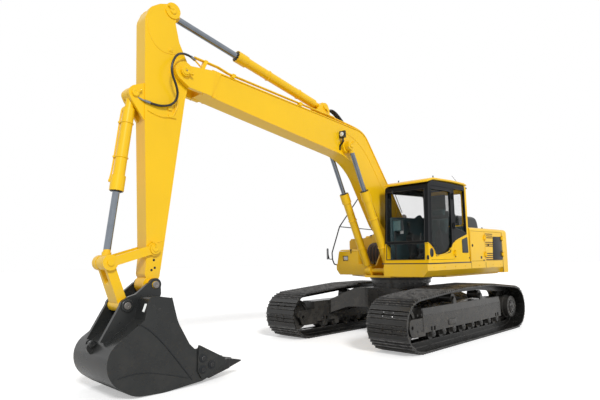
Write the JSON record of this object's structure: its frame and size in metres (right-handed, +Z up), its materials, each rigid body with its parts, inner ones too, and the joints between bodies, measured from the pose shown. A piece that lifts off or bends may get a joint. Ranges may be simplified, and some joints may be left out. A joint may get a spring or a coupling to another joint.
{
  "type": "crawler excavator",
  "caption": "Tracked hydraulic excavator with a rotating upper structure, side cab, bent boom, arm, linkage-driven bucket and rear counterweight.",
  "frame": {"origin": "on the ground under the middle of the machine's overall length, as it stands with the boom raised", "axes": "+X forward along the tracks and the boom, +Y to the operator's left (the cab side), +Z up"},
  "size_m": [9.6736, 3.39, 5.3085],
  "materials": {
    "yellow_paint": "gloss",
    "black_paint": "satin",
    "chassis_paint": "satin",
    "track_steel": "matte",
    "bucket_paint": "satin",
    "tooth_steel": "matte",
    "rod_chrome": "polished",
    "glass": "polished",
    "seat_fabric": "matte",
    "cab_plastic": "matte",
    "engine_iron": "satin",
    "exhaust_steel": "satin"
  },
  "bodies": {
    "undercarriage": {"centre_frame": "chassis_paint", "track_frame_left": "chassis_paint", "track_frame_right": "chassis_paint", "track_left": "track_steel", "track_right": "track_steel", "idlers": "chassis_paint", "sprockets": "chassis_paint", "track_rollers": "chassis_paint", "carrier_rollers": "chassis_paint"},
    "upper": {"revolving_frame": "yellow_paint", "cab": "black_paint", "cab_glass": "glass", "seat": "seat_fabric", "consoles": "cab_plastic", "counterweight": "yellow_paint", "housing": "yellow_paint", "engine": "engine_iron", "hydraulic_tank": "yellow_paint", "fuel_tank": "yellow_paint", "toolbox": "yellow_paint", "exhaust": "exhaust_steel", "right_rail": "black_paint"},
    "cab_door": {"cab_door": "yellow_paint", "cab_door_glass": "glass"},
    "left_front_door": {"left_front_door": "yellow_paint"},
    "left_rear_door": {"left_rear_door": "yellow_paint"},
    "right_rear_door": {"right_rear_door": "yellow_paint"},
    "engine_hood": {"engine_hood": "black_paint"},
    "toolbox_lid": {"toolbox_lid": "yellow_paint"},
    "boom": {"boom": "yellow_paint", "boom_pipes": "yellow_paint", "work_lamp": "black_paint"},
    "boom_barrels": {"boom_barrels": "yellow_paint"},
    "boom_rods": {"boom_rods": "rod_chrome"},
    "arm_barrel": {"arm_barrel": "yellow_paint"},
    "arm_rod": {"arm_rod": "rod_chrome"},
    "arm": {"arm": "yellow_paint"},
    "bucket_barrel": {"bucket_barrel": "yellow_paint"},
    "bucket_rod": {"bucket_rod": "rod_chrome"},
    "levers": {"levers": "yellow_paint"},
    "bucket_link": {"bucket_link": "yellow_paint"},
    "bucket": {"bucket": "bucket_paint", "bucket_teeth": "tooth_steel", "side_cutters": "bucket_paint"}
  },
  "joints": [
    {"name": "swing", "type": "hinge", "parent": "undercarriage", "child": "upper", "pos_m": [-1.93895, 0, 1.1857], "axis": [0, 0, 1], "continuous": true},
    {"name": "boom_lift", "type": "hinge", "parent": "upper", "child": "boom", "pos_m": [-1.70795, 0, 1.973], "axis": [0, -1, 0], "range_deg": [-61, 39]},
    {"name": "boom_cylinder_pivot", "type": "hinge", "parent": "upper", "child": "boom_barrels", "pos_m": [-1.14895, 0, 1.33], "axis": [0, -1, 0], "range_deg": [-56.91, 36.45]},
    {"name": "boom_cylinder_stroke", "type": "slide", "parent": "boom_barrels", "child": "boom_rods", "axis": [0.4341, 0, 0.9009], "range_m": [-0.8186, 0.5241]},
    {"name": "arm_crowd", "type": "hinge", "parent": "boom", "child": "arm", "pos_m": [3.65098, 0, 4.30313], "axis": [0, 1, 0], "range_deg": [-74, 44]},
    {"name": "arm_cylinder_pivot", "type": "hinge", "parent": "boom", "child": "arm_barrel", "pos_m": [0.54599, 0, 4.4633], "axis": [0, 1, 0], "range_deg": [-2.52, 1.51]},
    {"name": "arm_cylinder_stroke", "type": "slide", "parent": "arm_barrel", "child": "arm_rod", "axis": [0.9761, 0, 0.2171], "range_m": [-1.0002, 0.5955]},
    {"name": "bucket_curl", "type": "hinge", "parent": "arm", "child": "bucket", "pos_m": [4.06089, 0, 1.29907], "axis": [0, 1, 0], "range_deg": [-70, 85]},
    {"name": "bucket_cylinder_pivot", "type": "hinge", "parent": "arm", "child": "bucket_barrel", "pos_m": [4.34604, 0, 3.84691], "axis": [0, 1, 0], "range_deg": [-5.22, 6.33]},
    {"name": "bucket_cylinder_stroke", "type": "slide", "parent": "bucket_barrel", "child": "bucket_rod", "axis": [0.1268, 0, -0.9919], "range_m": [-0.4016, 0.4872]},
    {"name": "lever_pivot", "type": "hinge", "parent": "arm", "child": "levers", "pos_m": [4.04586, 0, 1.76421], "axis": [0, 1, 0], "range_deg": [-45.01, 54.61]},
    {"name": "link_pivot", "type": "hinge", "parent": "levers", "child": "bucket_link", "pos_m": [4.63389, 0, 1.59507], "axis": [0, 1, 0], "range_deg": [-40.96, 33.76]},
    {"name": "cab_door_hinge", "type": "hinge", "parent": "upper", "child": "cab_door", "pos_m": [-1.87895, 1.366, 2.2], "axis": [0, 0, 1], "range_deg": [0, 120]},
    {"name": "left_front_door_hinge", "type": "hinge", "parent": "upper", "child": "left_front_door", "pos_m": [-3.26395, 1.366, 1.8], "axis": [0, 0, 1], "range_deg": [0, 90]},
    {"name": "left_rear_door_hinge", "type": "hinge", "parent": "upper", "child": "left_rear_door", "pos_m": [-4.17395, 1.366, 1.8], "axis": [0, 0, 1], "range_deg": [0, 90]},
    {"name": "right_rear_door_hinge", "type": "hinge", "parent": "upper", "child": "right_rear_door", "pos_m": [-4.17395, -1.366, 1.8], "axis": [0, 0, -1], "range_deg": [0, 90]},
    {"name": "engine_hood_hinge", "type": "hinge", "parent": "upper", "child": "engine_hood", "pos_m": [-3.06395, 0, 2.231], "axis": [0, 1, 0], "range_deg": [0, 60]},
    {"name": "toolbox_lid_hinge", "type": "hinge", "parent": "upper", "child": "toolbox_lid", "pos_m": [-1.76895, 0, 1.774], "axis": [0, -1, 0], "range_deg": [0, 75]}
  ],
  "couplings": [
    {"joint": "boom_cylinder_pivot", "follows": "boom_lift", "ratio": 0.92971},
    {"joint": "boom_cylinder_stroke", "follows": "boom_lift", "m_per_rad": 0.76697},
    {"joint": "arm_cylinder_pivot", "follows": "arm_crowd", "ratio": 0.033851},
    {"joint": "arm_cylinder_stroke", "follows": "arm_crowd", "m_per_rad": 0.77287},
    {"joint": "bucket_cylinder_pivot", "follows": "bucket_curl", "ratio": 0.07405},
    {"joint": "bucket_cylinder_stroke", "follows": "bucket_curl", "m_per_rad": 0.32706},
    {"joint": "lever_pivot", "follows": "bucket_curl", "ratio": 0.64},
    {"joint": "link_pivot", "follows": "bucket_curl", "ratio": -0.48}
  ]
}
